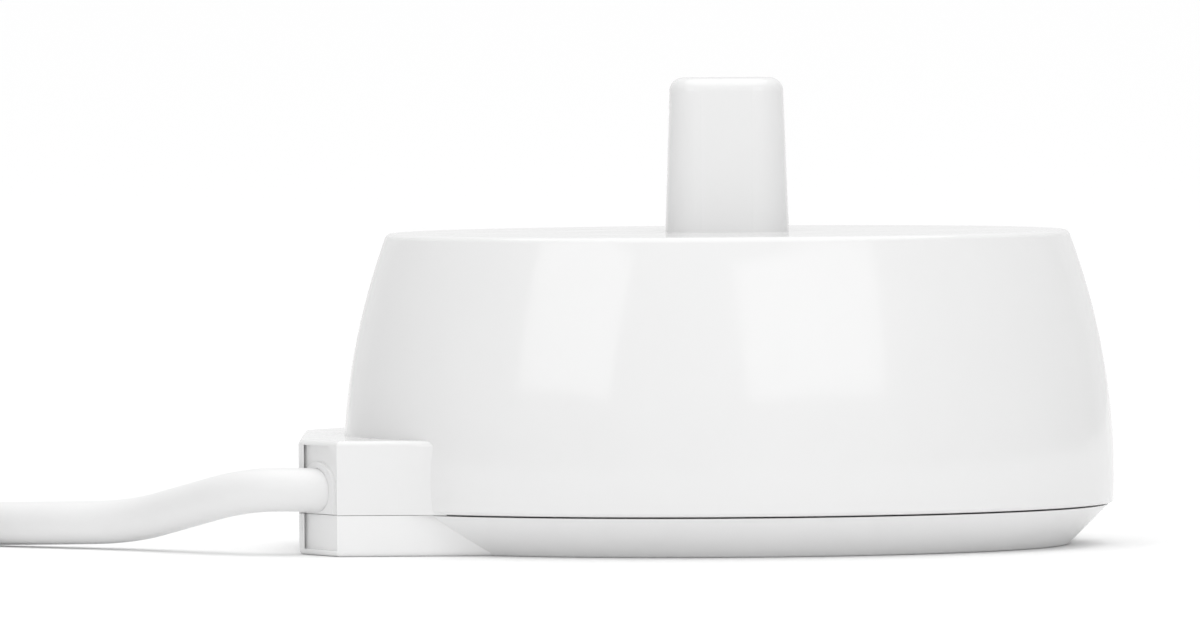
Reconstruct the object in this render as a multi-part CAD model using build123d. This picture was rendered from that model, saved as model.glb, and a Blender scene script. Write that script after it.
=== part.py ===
"""Inductive charging base for an electric toothbrush.

Millimetres, +Z up. The origin is the middle of the base's footprint, on the surface that it stands on.
The oval body's axis, which is also the charging peg's, stands BODY_X in front of the origin, because the
cord outlet block reaches further out at the rear (-X) than the oval does.
"""

import os
from math import pi, radians, tan

from build123d import *

# Oval body
HALF_LENGTH = 31.1
HALF_WIDTH = 24.3
WIDEST_Z = 6.0
SIDE_RADIUS = 52.0
TOP_Z = 25.4
TOP_EDGE = 0.6
WALL = 1.8

# Seam between the housing and the cover
SEAM_Z = 3.3
SEAM_GAP = 0.14
BLOCK_SEAM_GAP = 0.04
COVER_SETBACK = 0.5
COVER_FOOT_SETBACK = 3.75
COVER_EDGE = 0.5
FLOOR = 1.6
RIM_WIDTH = 2.6
UNDERSIDE_RECESS = 0.4
RIB_HEIGHT = 1.9
RIB_THICKNESS = 1.1
SEAL_THICKNESS = 0.6

# Charging peg
PEG_TOP_Z = 37.8
PEG_LENGTH = 9.96
PEG_WIDTH = 8.4
PEG_CORNER = 3.0
PEG_DRAFT = 2.0
PEG_EDGE = 1.1
PEG_WALL = 1.2

# Rear block with the cord outlet
REAR_REACH = 34.5
BLOCK_HALF_WIDTH = 15.0
BLOCK_TOP = 9.24
FACET_LENGTH = 3.15
FACET_WIDTH = 5.4
BLOCK_EDGE = 0.9
BLOCK_TOP_EDGE = 0.5
BLOCK_WALL = 1.4
BLEND_START = 26.5
BLEND_END = 22.6
BLEND_RISE = 1.35
BODY_X = (REAR_REACH - HALF_LENGTH) / 2
REAR_X = BODY_X - REAR_REACH
FACET_X = REAR_X + FACET_LENGTH

# Cord outlet
OUTLET_Y = -12.0
OUTLET_Z = 5.3
POCKET_DEPTH = 0.3
POCKET_ARC = 3.0
POCKET_LOW = 0.5
POCKET_TOP = 8.8
POCKET_RIM = 0.45
BUSHING_RADIUS = 2.2

# Cord
CORD_DIAMETER = 3.5
CORD_RADIUS = CORD_DIAMETER / 2
ARC_SHARE = 0.45

# Coil of the put-away length
COIL_X = BODY_X - 90.0
COIL_Y = -6.0
COIL_COLUMNS = 5
COIL_LAYERS = 2
COIL_MIDDLE_RADIUS = 19.15
COIL_PITCH = 3.5
LAYER_RISE = 3.45
COIL_JOIN = 2.0
JOIN_CLEARANCE = 2.6
TIE_THICKNESS = 0.6
TIE_WIDTH = 6.0

# Plug
PLUG_LENGTH = 26.0
PLUG_WIDTH = 35.0
PLUG_THICKNESS = 13.7
LEAD_LENGTH = 20.0
BOOT_LENGTH = 16.0
PIN_RADIUS = 2.0
PIN_ROOT_RADIUS = 1.3
PIN_SPACING = 18.6
PIN_LENGTH = 19.0
SLEEVE_RADIUS = 1.75
SLEEVE_LENGTH = 10.0
PIN_ROOT_DEPTH = 8.0
BOOT_GROOVES = 4

# Circuit board and what it carries
BOARD_LENGTH = 44.0
BOARD_WIDTH = 30.0
BOARD_THICKNESS = 1.6
BOARD_Z = 9.6
BOARD_TOP = BOARD_Z + BOARD_THICKNESS
BOARD_X = BODY_X + 1.0
LEAD_RADIUS = 0.4
SCREW_RADIUS = 1.1

OUTER_COIL_RADIUS = COIL_MIDDLE_RADIUS + COIL_PITCH * (COIL_COLUMNS - 1) / 2
TOP_LAYER_Z = TIE_THICKNESS + CORD_RADIUS + LAYER_RISE * (COIL_LAYERS - 1)
PLUG_Y = COIL_Y + OUTER_COIL_RADIUS
PLUG_Z = PLUG_THICKNESS / 2
BOOT_START_X = COIL_X - LEAD_LENGTH
BODY_START_X = BOOT_START_X - BOOT_LENGTH
PIN_START_X = BODY_START_X - PLUG_LENGTH
PIN_YS = (PLUG_Y - PIN_SPACING / 2, PLUG_Y + PIN_SPACING / 2)

# Corner points of the cord's route, from inside the housing to the coil
CORD_ROUTE = [
    (BODY_X - 20.0, -11.7, 4.6),
    (BODY_X - 26.8, -11.5, 4.8),
    (BODY_X - 33.6, -12.1, 5.3),
    (BODY_X - 38.8, -9.9, 5.2),
    (BODY_X - 43.6, -4.9, 3.7),
    (BODY_X - 48.2, 0.4, 2.25),
    (BODY_X - 54.5, 4.8, 2.0),
    (BODY_X - 62.8, 11.0, CORD_RADIUS),
    (BODY_X - 71.2, 17.3, CORD_RADIUS),
    (BODY_X - 79.4, COIL_Y + OUTER_COIL_RADIUS, CORD_RADIUS + TIE_THICKNESS),
    (COIL_X + COIL_JOIN, COIL_Y + OUTER_COIL_RADIUS, CORD_RADIUS + TIE_THICKNESS),
]

# Corner points of the cord's last stretch, from the coil's upper layer to the plug
PLUG_LEAD = [
    (COIL_X - COIL_JOIN, PLUG_Y, TOP_LAYER_Z),
    (COIL_X - COIL_JOIN - 5.0, PLUG_Y, TOP_LAYER_Z),
    (BOOT_START_X + 4.5, PLUG_Y, PLUG_Z),
    (BOOT_START_X, PLUG_Y, PLUG_Z),
]


def save(shape, node):
    """Write one sub-part to its own file."""
    if isinstance(shape, list):
        shape = Compound(children=shape)
    export_step(shape, os.path.join("parts", node + ".step"))


def side_inset(z):
    """How far the body's curved side stands inside its widest outline at height z."""
    return (z - WIDEST_Z) ** 2 / (2 * SIDE_RADIUS)


def oval(inset, z):
    """Oval outline of the body, drawn in by inset, at height z."""
    return Pos(BODY_X, 0, z) * Ellipse(HALF_LENGTH - inset, HALF_WIDTH - inset)


def block_outline(inset, z, corner):
    """Plan of the rear block: two slanted corners at the rear end."""
    rear = REAR_X + inset
    side = BLOCK_HALF_WIDTH - inset
    slant = (FACET_LENGTH ** 2 + FACET_WIDTH ** 2) ** 0.5
    cut_x = FACET_LENGTH - inset * (1 + (FACET_LENGTH - slant) / FACET_WIDTH)
    cut_y = FACET_WIDTH - inset * (1 + (FACET_WIDTH - slant) / FACET_LENGTH)
    points = [
        (rear, -side + cut_y),
        (rear + cut_x, -side),
        (BODY_X - 12, -side),
        (BODY_X - 12, side),
        (rear + cut_x, side),
        (rear, side - cut_y),
    ]
    plan = make_face(Polyline(*points, close=True))
    if corner > 0:
        ends = plan.vertices().group_by(Axis.X)[0]
        plan = fillet(ends, corner)
    return Pos(0, 0, z) * plan


def side_blends(z):
    """Plan of the hollow curves by which the block's two sides run into the oval."""
    blends = []
    for side in (-1, 1):
        start = (BODY_X - BLEND_START, side * BLOCK_HALF_WIDTH)
        end = (BODY_X - BLEND_END, side * (BLOCK_HALF_WIDTH + BLEND_RISE))
        inner = side * (BLOCK_HALF_WIDTH - 2)
        arc = TangentArc(start, end, tangent=(1, 0))
        back = Polyline(end, (end[0], inner), (start[0], inner), start)
        blends.append(Pos(0, 0, z) * make_face(arc + back))
    return blends


def full_outline(inset, z):
    """Plan of the oval body and the rear block together."""
    return oval(inset, z) + block_outline(inset, z, 0)


def body_loft(inset, low, high):
    """Solid of the body's side form between two heights, drawn in by inset."""
    steps = 6
    sections = []
    for i in range(steps + 1):
        z = low + (high - low) * i / steps
        sections.append(oval(inset + side_inset(z), z))
    return loft(sections)


def peg_solid(margin, low, top):
    """Tapered peg from low to top, with its outline drawn in by margin."""
    drop = (TOP_Z - low) * tan(radians(PEG_DRAFT))
    length = PEG_LENGTH - 2 * margin + 2 * drop
    width = PEG_WIDTH - 2 * margin + 2 * drop
    plan = Pos(BODY_X, 0, low) * RectangleRounded(length, width, PEG_CORNER - margin / 2)
    return extrude(plan, amount=top - low, taper=PEG_DRAFT)


def outer_edges(shape, z):
    """Edges of the rear block at one height, without the one that the body hides."""
    edges = []
    for edge in shape.edges():
        box = edge.bounding_box()
        flat = abs(box.min.Z - z) < 1e-3 and abs(box.max.Z - z) < 1e-3
        if flat and box.min.X < BODY_X - 12.1:
            edges.append(edge)
    return edges


def standing_pin(x, y, low, high, radius):
    """Upright round bar."""
    return Pos(x, y, (low + high) / 2) * Cylinder(radius, high - low)


# ---------------------------------------------------------------- casing

def upper_housing():
    """Oval shell with its hollow peg and the top of the rear block, open below."""
    low = SEAM_Z + SEAM_GAP / 2
    body = body_loft(0, low, TOP_Z)
    top_edge = body.edges().group_by(Axis.Z)[-1]
    body = fillet(top_edge, TOP_EDGE)
    body = fillet(body.edges().group_by(Axis.Z)[0], 0.3)
    block_low = SEAM_Z + BLOCK_SEAM_GAP / 2
    plan = block_outline(0, block_low, BLOCK_EDGE) + side_blends(block_low)
    block = extrude(plan, amount=BLOCK_TOP - block_low)
    block = fillet(outer_edges(block, BLOCK_TOP), BLOCK_TOP_EDGE)
    peg = peg_solid(0, TOP_Z - 2, PEG_TOP_Z)
    peg = fillet(peg.edges().group_by(Axis.Z)[-1], PEG_EDGE)
    shell = body + block + peg

    cavity = body_loft(WALL, low - 1, TOP_Z - WALL)
    rear_depth = BLOCK_TOP - BLOCK_WALL - low + 1
    rear_cavity = extrude(block_outline(BLOCK_WALL, low - 1, 0), amount=rear_depth)
    peg_cavity = peg_solid(PEG_WALL, TOP_Z - WALL - 1, PEG_TOP_Z - PEG_WALL)
    shell = shell - cavity - rear_cavity - peg_cavity
    shell = shell - outlet_pocket() - bushing_space()
    return shell + board_posts()


def facet_frame(depth):
    """Plane along the slanted outlet corner, set in from it by depth; X runs along the corner."""
    middle = Vector(REAR_X + FACET_LENGTH / 2, -BLOCK_HALF_WIDTH + FACET_WIDTH / 2, 0)
    normal = Vector(-FACET_WIDTH, -FACET_LENGTH, 0).normalized()
    along = Vector(-FACET_LENGTH, FACET_WIDTH, 0)
    return Plane(origin=middle - normal * depth, x_dir=along, z_dir=normal)


def outlet_pocket():
    """Shallow recess in the slanted corner round the bushing; its upper front edge is an arc in side view."""
    slab = extrude(facet_frame(POCKET_DEPTH) * Rectangle(20, 4 * POCKET_TOP), amount=POCKET_DEPTH + 3)
    arc_z = POCKET_TOP - 2.0
    span = FACET_LENGTH - POCKET_RIM
    middle_x = FACET_X - span / 2
    lower = Pos(middle_x, 0, (POCKET_LOW + arc_z) / 2) * Box(span, 60, arc_z - POCKET_LOW)
    upper = Pos(middle_x, 0, (arc_z + POCKET_TOP) / 2) * Box(span, 60, POCKET_TOP - arc_z)
    arc = Pos(FACET_X - POCKET_ARC, 0, arc_z) * Rot(90, 0, 0) * Cylinder(POCKET_ARC, 60)
    return slab & (lower + (upper & arc))


def bushing_profile(radius):
    """Flat-bottomed round-topped outline of the outlet, across the cord's line."""
    low = SEAM_Z + SEAM_GAP / 2
    drop = OUTLET_Z - low
    arch = Circle(radius)
    skirt = Pos(0, -drop / 2) * Rectangle(2 * radius, drop)
    trim = Pos(0, radius - drop) * Rectangle(4 * radius, 2 * radius)
    return (arch + skirt) & trim


def bushing_space():
    """Passage for the cord bushing, along X through the rear wall."""
    plane = Plane(origin=(REAR_X - 2, OUTLET_Y, OUTLET_Z), x_dir=(0, 1, 0), z_dir=(1, 0, 0))
    return extrude(plane * bushing_profile(BUSHING_RADIUS), amount=8)


def cord_way():
    """Gap that the cord needs through the rib and the seal, beside the block's wall."""
    start = REAR_X - 1
    end = BODY_X - 17.0
    low = SEAM_Z - SEAM_GAP / 2
    height = 8.0
    middle = ((start + end) / 2, OUTLET_Y, low + height / 2)
    return Pos(*middle) * Box(end - start, 2 * BUSHING_RADIUS, height)


def board_posts():
    """Two posts under the housing's roof that the board is screwed to."""
    posts = []
    for x in (BOARD_X - 19.0, BOARD_X + 19.0):
        post = standing_pin(x, 0, BOARD_TOP, TOP_Z - WALL + 0.2, 2.0)
        posts.append(post - standing_pin(x, 0, BOARD_TOP - 1, BOARD_TOP + 5.0, SCREW_RADIUS))
    return Compound(children=posts)


def bottom_cover():
    """Shallow dish with a slanted side, a flat rim to stand on and a rib that locates it in the housing."""
    top = SEAM_Z - SEAM_GAP / 2
    foot = oval(COVER_FOOT_SETBACK, 0)
    dish = loft([foot, oval(COVER_SETBACK, top)])
    dish = fillet(dish.edges().group_by(Axis.Z)[0], COVER_EDGE)
    block = extrude(block_outline(0, 0, BLOCK_EDGE), amount=SEAM_Z - BLOCK_SEAM_GAP / 2)
    block = fillet(outer_edges(block, 0), 0.4)
    cover = dish + block
    underside = extrude(oval(COVER_FOOT_SETBACK + RIM_WIDTH, 0), amount=UNDERSIDE_RECESS)
    cover = cover - underside - pad_pockets()
    cavity = extrude(oval(COVER_FOOT_SETBACK + 0.8, FLOOR), amount=top)
    rear_cavity = extrude(block_outline(BLOCK_WALL + 1.2, FLOOR, 0), amount=top)
    cover = cover - cavity - rear_cavity - outlet_pocket()
    rib_outside = WALL + 0.1 + SEAL_THICKNESS
    rib = extrude(full_outline(rib_outside, top - 0.4), amount=RIB_HEIGHT + 0.4)
    rib = rib - extrude(full_outline(rib_outside + RIB_THICKNESS, top - 0.5), amount=RIB_HEIGHT + 1)
    return cover + (rib - cord_way()) + clamp_seat()


def housing_seal():
    """Elastic band round the locating rib, between it and the housing's wall."""
    outside = WALL + 0.1
    low = SEAM_Z - BLOCK_SEAM_GAP / 2
    band = extrude(full_outline(outside, low), amount=1.0)
    band = band - extrude(full_outline(outside + SEAL_THICKNESS, low - 0.1), amount=1.2)
    return band - cord_way()


CLAMP_SPOTS = [(BODY_X - 24.0, -7.4), (BODY_X - 20.4, -7.4)]
CLAMP_LOW = 6.4
CLAMP_TOP = 7.8
CLAMP_SCREW = 0.8
CLAMP_HEAD = 1.5


def clamp_seat():
    """Saddle under the cord and two posts for the clamp's screws, on the cover's floor."""
    seat_x = (CLAMP_SPOTS[0][0] + CLAMP_SPOTS[1][0]) / 2 - 0.6
    seat = Pos(seat_x, OUTLET_Y, (FLOOR + 4.6) / 2 - 0.1) * Box(4.6, 3.2, 4.8 - FLOOR)
    parts = [seat]
    for x, y in CLAMP_SPOTS:
        post = standing_pin(x, y, FLOOR - 0.2, CLAMP_LOW, 1.6)
        parts.append(post - standing_pin(x, y, 2.6, CLAMP_LOW + 1, CLAMP_SCREW))
    return Compound(children=parts)


PAD_SPOTS = [(x, y) for x in (BODY_X - 13.0, BODY_X + 13.0) for y in (-9.5, 9.5)]


def pad_pockets():
    """Shallow round pockets for the anti-slip pads."""
    pockets = [Pos(x, y, 0.5) * Cylinder(4.1, 1.0) for x, y in PAD_SPOTS]
    return Compound(children=pockets)


def anti_slip_pads():
    """Four round pads, level with the rim that the base stands on."""
    pads = []
    for x, y in PAD_SPOTS:
        pad = Pos(x, y, 0.5) * Cylinder(4.0, 1.0)
        pads.append(fillet(pad.edges().group_by(Axis.Z)[0], 0.3))
    return pads


# ---------------------------------------------------------------- charging coil

CORE_RADIUS = 2.4
CORE_LOW = BOARD_TOP + 2.6
CORE_TOP = PEG_TOP_Z - PEG_WALL - 0.6
BOBBIN_BORE = 2.5
BOBBIN_HUB = 3.1
BOBBIN_FLANGE = 8.6
WINDING_LOW = BOARD_TOP + 3.0
WINDING_TOP = TOP_Z - WALL - 2.2
WINDING_RADIUS = 7.8
PIN_SPOTS = [(BODY_X - 6.0, -5.0), (BODY_X - 6.0, 5.0), (BODY_X + 6.0, -5.0), (BODY_X + 6.0, 5.0)]


def ferrite_core():
    """Ferrite rod that stands in the bobbin and reaches up into the peg."""
    core = Pos(BODY_X, 0, (CORE_LOW + CORE_TOP) / 2) * Cylinder(CORE_RADIUS, CORE_TOP - CORE_LOW)
    return chamfer(core.edges().group_by(Axis.Z)[-1], 0.3)


def coil_bobbin():
    """Spool with two flanges and four feet that carry its pins."""
    low = BOARD_TOP + 1.6
    hub = Pos(BODY_X, 0, (low + WINDING_TOP + 1) / 2) * Cylinder(BOBBIN_HUB, WINDING_TOP + 1 - low)
    flange_low = Pos(BODY_X, 0, low + 0.7) * Cylinder(BOBBIN_FLANGE, 1.4)
    flange_top = Pos(BODY_X, 0, WINDING_TOP + 0.5) * Cylinder(BOBBIN_FLANGE, 1.0)
    spool = hub + flange_low + flange_top
    for x, y in PIN_SPOTS:
        spool = spool + Pos(x, y, (BOARD_TOP + low + 1) / 2) * Box(3, 3, low + 1 - BOARD_TOP)
    bore_height = WINDING_TOP + 2 - CORE_LOW
    spool = spool - Pos(BODY_X, 0, CORE_LOW + bore_height / 2) * Cylinder(BOBBIN_BORE, bore_height)
    for x, y in PIN_SPOTS:
        spool = spool - standing_pin(x, y, BOARD_TOP - 1, BOARD_TOP + 2.2, LEAD_RADIUS)
    return spool


def primary_winding():
    """Wound copper between the flanges, as one ring."""
    height = WINDING_TOP - WINDING_LOW - 0.1
    middle = Pos(BODY_X, 0, (WINDING_TOP + WINDING_LOW) / 2)
    ring = middle * Cylinder(WINDING_RADIUS, height) - middle * Cylinder(BOBBIN_HUB + 0.05, height + 1)
    outer = ring.edges().filter_by(GeomType.CIRCLE).sort_by(SortBy.RADIUS)[-2:]
    return fillet(outer, 0.8)


def bobbin_pins():
    """Four wire pins pressed into the bobbin's feet and passed through the board."""
    return [standing_pin(x, y, BOARD_Z - 1.2, BOARD_TOP + 2.2, LEAD_RADIUS) for x, y in PIN_SPOTS]


# ---------------------------------------------------------------- circuit board

CAPACITOR_SPOT = (BOARD_X - 14.5, 8.0)
RESERVOIR_SPOT = (BOARD_X + 15.0, 6.5)
RESONANCE_SPOT = (BOARD_X + 13.5, -9.8)
CHOKE_SPOT = (BOARD_X - 12.0, -9.5)
TRANSISTOR_SPOT = (BOARD_X + 3.0, 11.8)
FUSE_SPOT = (BOARD_X - 3.5, -12.6)
DIODE_SPOTS = [(BOARD_X - 5.2, 9.7), (BOARD_X - 5.2, 11.6), (BOARD_X - 5.2, 13.5), (BOARD_X - 14.5, 12.9)]
RESISTOR_SPOTS = [(BOARD_X + 4.4, -11.0), (BOARD_X + 4.4, -13.2), (BOARD_X + 8.5, 12.6)]
SCREW_XS = (BOARD_X - 19.0, BOARD_X + 19.0)


def lead_spots():
    """Every place where a component's lead passes through the board."""
    spots = list(PIN_SPOTS)
    for spot, reach in two_lead_parts():
        spots.append((spot[0] - reach, spot[1]))
        spots.append((spot[0] + reach, spot[1]))
    spots.extend(transistor_leads())
    return spots


def two_lead_parts():
    """Centre and half lead spacing of each part with two leads along X."""
    parts = [
        (CAPACITOR_SPOT, 3.75),
        (RESERVOIR_SPOT, 1.25),
        (RESONANCE_SPOT, 3.75),
        (CHOKE_SPOT, 2.5),
        (FUSE_SPOT, 4.0),
    ]
    parts.extend((spot, 3.2) for spot in DIODE_SPOTS)
    parts.extend((spot, 2.1) for spot in RESISTOR_SPOTS)
    return parts


def transistor_leads():
    """Three lead places of the switching transistor."""
    x, y = TRANSISTOR_SPOT
    return [(x - 1.27, y), (x, y), (x + 1.27, y)]


def leads(spot, reach, rise):
    """Two straight leads from below the board up to a component's body."""
    pair = []
    for side in (-1, 1):
        x = spot[0] + side * reach
        pair.append(standing_pin(x, spot[1], BOARD_Z - 1.0, BOARD_TOP + rise, LEAD_RADIUS))
    return pair


def circuit_board():
    """Board with rounded ends, drilled for its leads and its two screws."""
    plate = Pos(BOARD_X, 0, BOARD_Z) * RectangleRounded(BOARD_LENGTH, BOARD_WIDTH, 4)
    board = extrude(plate, amount=BOARD_THICKNESS)
    holes = [standing_pin(x, y, BOARD_Z - 1, BOARD_TOP + 1, LEAD_RADIUS) for x, y in lead_spots()]
    holes.extend(standing_pin(x, 0, BOARD_Z - 1, BOARD_TOP + 1, 1.2) for x in SCREW_XS)
    for x, y in WIRE_PADS:
        holes.append(standing_pin(x, y, BOARD_Z - 1, BOARD_TOP + 1, WIRE_RADIUS))
    return board - holes


def boxed_part(spot, length, width, height, reach, edge):
    """Block-shaped component with two leads, all one solid."""
    body = Pos(spot[0], spot[1], BOARD_TOP + height / 2) * Box(length, width, height)
    body = fillet(body.edges(), edge)
    return body + leads(spot, reach, 1.0)


def input_capacitor():
    """Block-shaped film capacitor across the mains."""
    return boxed_part(CAPACITOR_SPOT, 10.5, 6.0, 8.5, 3.75, 0.4)


def resonance_capacitor():
    """Block-shaped film capacitor that tunes the charging coil."""
    return boxed_part(RESONANCE_SPOT, 9.5, 5.0, 7.0, 3.75, 0.4)


def reservoir_capacitor():
    """Round capacitor that smooths the rectified mains."""
    x, y = RESERVOIR_SPOT
    can = Pos(x, y, BOARD_TOP + 5.0) * Cylinder(4.4, 10.0)
    can = fillet(can.edges().group_by(Axis.Z)[-1], 0.6)
    return can + leads(RESERVOIR_SPOT, 1.25, 1.0)


def filter_choke():
    """Drum-shaped choke."""
    x, y = CHOKE_SPOT
    drum = Pos(x, y, BOARD_TOP + 4.0) * Cylinder(3.0, 8.0)
    for z in (0.6, 7.4):
        drum = drum + Pos(x, y, BOARD_TOP + z) * Cylinder(3.8, 1.2)
    return drum + leads(CHOKE_SPOT, 2.5, 1.0)


def lying_part(spot, length, radius, reach):
    """Small round component that lies on the board between two bent leads."""
    x, y = spot
    z = BOARD_TOP + radius + 0.1
    body = Pos(x, y, z) * Rot(0, 90, 0) * Cylinder(radius, length)
    body = fillet(body.edges().filter_by(GeomType.CIRCLE), radius * 0.3)
    bar = Pos(x, y, z) * Rot(0, 90, 0) * Cylinder(LEAD_RADIUS, 2 * reach)
    knees = [Pos(x + side * reach, y, z) * Sphere(LEAD_RADIUS) for side in (-1, 1)]
    return body + bar + knees + leads(spot, reach, radius + 0.1)


def switching_transistor():
    """Small transistor that stands on three leads, flat on one side."""
    x, y = TRANSISTOR_SPOT
    body = Pos(x, y, BOARD_TOP + 4.3) * (Cylinder(2.3, 4.6) - Pos(0, -2.3, 0) * Box(6, 2, 6))
    low = BOARD_Z - 1.0
    high = BOARD_TOP + 2.5
    legs = [standing_pin(px, py, low, high, LEAD_RADIUS) for px, py in transistor_leads()]
    return body + legs


def board_screws():
    """Two screws that hold the board up against the housing's posts."""
    screws = []
    for x in SCREW_XS:
        shank = standing_pin(x, 0, BOARD_Z - 0.1, BOARD_TOP + 5.0, SCREW_RADIUS)
        head = standing_pin(x, 0, BOARD_Z - 1.5, BOARD_Z, 2.1)
        head = fillet(head.edges().group_by(Axis.Z)[0], 0.5)
        slot = Pos(x, 0, BOARD_Z - 1.3) * (Box(2.6, 0.5, 0.8) + Box(0.5, 2.6, 0.8))
        screws.append(head + shank - slot)
    return screws


# ---------------------------------------------------------------- cord inlet

WIRE_RADIUS = 0.75
WIRE_PADS = [(BOARD_X - 18.4, -12.9), (BOARD_X - 18.4, -9.9)]
BUSHING_INSIDE = BODY_X - 30.0


def cord_tube():
    """Cord from the clamp to the coil: straight runs joined by tangent arcs."""
    return round_tube(CORD_ROUTE, "power_cord")


def plug_tube():
    """Cord from the coil to the plug's strain relief."""
    return round_tube(PLUG_LEAD, "plug_lead")


def round_tube(points, name):
    """Tube through corner points, each arc as large as its two runs allow."""
    corners = [Vector(*point) for point in points]
    arcs = []
    for before, here, after in zip(corners, corners[1:], corners[2:]):
        turn = radians((here - before).get_angle(after - here))
        shorter = min((here - before).length, (after - here).length)
        arcs.append(ARC_SHARE * shorter / tan(turn / 2))
    path = FilletPolyline(*corners, radius=arcs)
    tube = sweep(Plane(origin=path @ 0, z_dir=path % 0) * Circle(CORD_RADIUS), path=path)
    expected = pi * CORD_RADIUS ** 2 * path.length
    print(name, "radii", [round(arc, 1) for arc in arcs], "length", round(path.length, 1))
    print(name, "volume", round(tube.volume, 1), "section times length", round(expected, 1))
    return tube


def strain_relief():
    """Flat-bottomed bushing round the cord where it passes the housing's rear wall."""
    start = BUSHING_INSIDE
    plane = Plane(origin=(start, OUTLET_Y, OUTLET_Z), x_dir=(0, -1, 0), z_dir=(-1, 0, 0))
    body = extrude(plane * bushing_profile(BUSHING_RADIUS), amount=8)
    front = extrude(facet_frame(POCKET_DEPTH - 0.2) * Rectangle(60, 60), amount=20)
    behind = Pos(REAR_X - 10, OUTLET_Y, OUTLET_Z) * Box(20, 20, 20)
    return body - front - behind


def cord_clamp():
    """Bar that presses the cord onto its saddle, with two screw holes on its inner side."""
    middle_x = (CLAMP_SPOTS[0][0] + CLAMP_SPOTS[1][0]) / 2
    low_y = OUTLET_Y - 1.3
    high_y = CLAMP_SPOTS[0][1] + 1.8
    middle_y = (low_y + high_y) / 2
    bar = Pos(middle_x, middle_y, (CLAMP_LOW + CLAMP_TOP) / 2)
    bar = bar * Box(7.2, high_y - low_y, CLAMP_TOP - CLAMP_LOW)
    bar = fillet(bar.edges().filter_by(Axis.Z), 1.0)
    heel = Pos(middle_x, OUTLET_Y, 6.2) * Box(5.0, 2.6, 1.6)
    bar = bar + heel
    for x, y in CLAMP_SPOTS:
        bar = bar - standing_pin(x, y, CLAMP_LOW - 1, CLAMP_TOP + 1, CLAMP_SCREW)
    return bar


def clamp_screws():
    """Two small screws through the clamp bar into the cover's posts."""
    screws = []
    for x, y in CLAMP_SPOTS:
        shank = standing_pin(x, y, 3.0, CLAMP_TOP + 0.4, CLAMP_SCREW)
        head = standing_pin(x, y, CLAMP_TOP, CLAMP_TOP + 1.0, CLAMP_HEAD)
        head = fillet(head.edges().group_by(Axis.Z)[-1], 0.35)
        slot = Pos(x, y, CLAMP_TOP + 0.9) * (Box(2.0, 0.4, 0.6) + Box(0.4, 2.0, 0.6))
        screws.append(head + shank - slot)
    return screws


def core_wire(offset, pad):
    """One insulated conductor from the sheath's end to its place on the board."""
    start = Vector(*CORD_ROUTE[0])
    along = (start - Vector(*CORD_ROUTE[1])).normalized()
    beside = Vector(0, 0, 1).cross(along).normalized() * offset
    points = [
        start + beside,
        start + beside + along * 1.3,
        Vector(pad[0], pad[1], BOARD_Z - 2.6),
        Vector(pad[0], pad[1], BOARD_TOP + 0.3),
    ]
    path = FilletPolyline(*points, radius=[0.9, 0.9])
    return sweep(Plane(origin=path @ 0, z_dir=path % 0) * Circle(WIRE_RADIUS), path=path)


# ---------------------------------------------------------------- put-away cord and plug

def coil_section():
    """Upright section of the coil: all columns and layers, with rounded corners."""
    width = COIL_PITCH * (COIL_COLUMNS - 1) + CORD_DIAMETER
    height = LAYER_RISE * (COIL_LAYERS - 1) + CORD_DIAMETER
    return width, height


def cord_coil():
    """Outer shape of the neat coil of turns, cut away where the cord joins it and leaves it."""
    width, height = coil_section()
    section = Pos(COIL_MIDDLE_RADIUS, TIE_THICKNESS + height / 2) * RectangleRounded(width, height, 1.6)
    ring = Pos(COIL_X, COIL_Y, 0) * revolve(Plane.XZ * section, Axis.Z)
    cut = 18.0
    slot = 2 * (CORD_RADIUS + JOIN_CLEARANCE)
    arrival = (COIL_X + COIL_JOIN + cut / 2, PLUG_Y, TIE_THICKNESS + CORD_RADIUS)
    departure = (COIL_X - COIL_JOIN - cut / 2, PLUG_Y, TOP_LAYER_Z)
    ring = ring - Pos(*arrival) * Box(cut, slot, slot)
    return ring - Pos(*departure) * Box(cut, slot, slot)


def cord_tie():
    """Flat strap closed round the coil's turns on the side away from the base."""
    width, height = coil_section()
    middle = Pos(COIL_X - COIL_MIDDLE_RADIUS, COIL_Y, TIE_THICKNESS + height / 2)
    outer = Box(width + 2 * TIE_THICKNESS + 0.3, TIE_WIDTH, height + 2 * TIE_THICKNESS)
    outer = fillet(outer.edges().filter_by(Axis.Y), 1.4)
    return middle * outer


def plug_body():
    """Flat two-pin plug body, narrower towards the strain relief."""
    front = plug_plane(PIN_START_X) * RectangleRounded(PLUG_WIDTH, PLUG_THICKNESS, 5.5)
    waist = plug_plane(BODY_START_X - 9) * RectangleRounded(PLUG_WIDTH - 6, PLUG_THICKNESS - 0.6, 5.5)
    back = plug_plane(BODY_START_X) * RectangleRounded(16, 11, 4)
    body = loft([front, waist], ruled=True) + loft([waist, back], ruled=True)
    for y in PIN_YS:
        body = body - plug_rod(y, PIN_START_X - 1, PIN_START_X + PIN_ROOT_DEPTH, SLEEVE_RADIUS)
    return body


def plug_plane(x):
    """Upright plane across the plug at a given X."""
    return Plane(origin=(x, PLUG_Y, PLUG_Z), x_dir=(0, 1, 0), z_dir=(-1, 0, 0))


def plug_rod(y, x_low, x_high, radius):
    """Round bar along the plug."""
    return Pos((x_low + x_high) / 2, y, PLUG_Z) * Rot(0, 90, 0) * Cylinder(radius, x_high - x_low)


def pin_sleeves():
    """Insulating sleeves on the root of each pin."""
    sleeves = []
    low = PIN_START_X - SLEEVE_LENGTH
    high = PIN_START_X + PIN_ROOT_DEPTH
    for y in PIN_YS:
        sleeve = plug_rod(y, low, high, SLEEVE_RADIUS)
        sleeves.append(sleeve - plug_rod(y, low - 1, high + 1, PIN_ROOT_RADIUS))
    return sleeves


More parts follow.
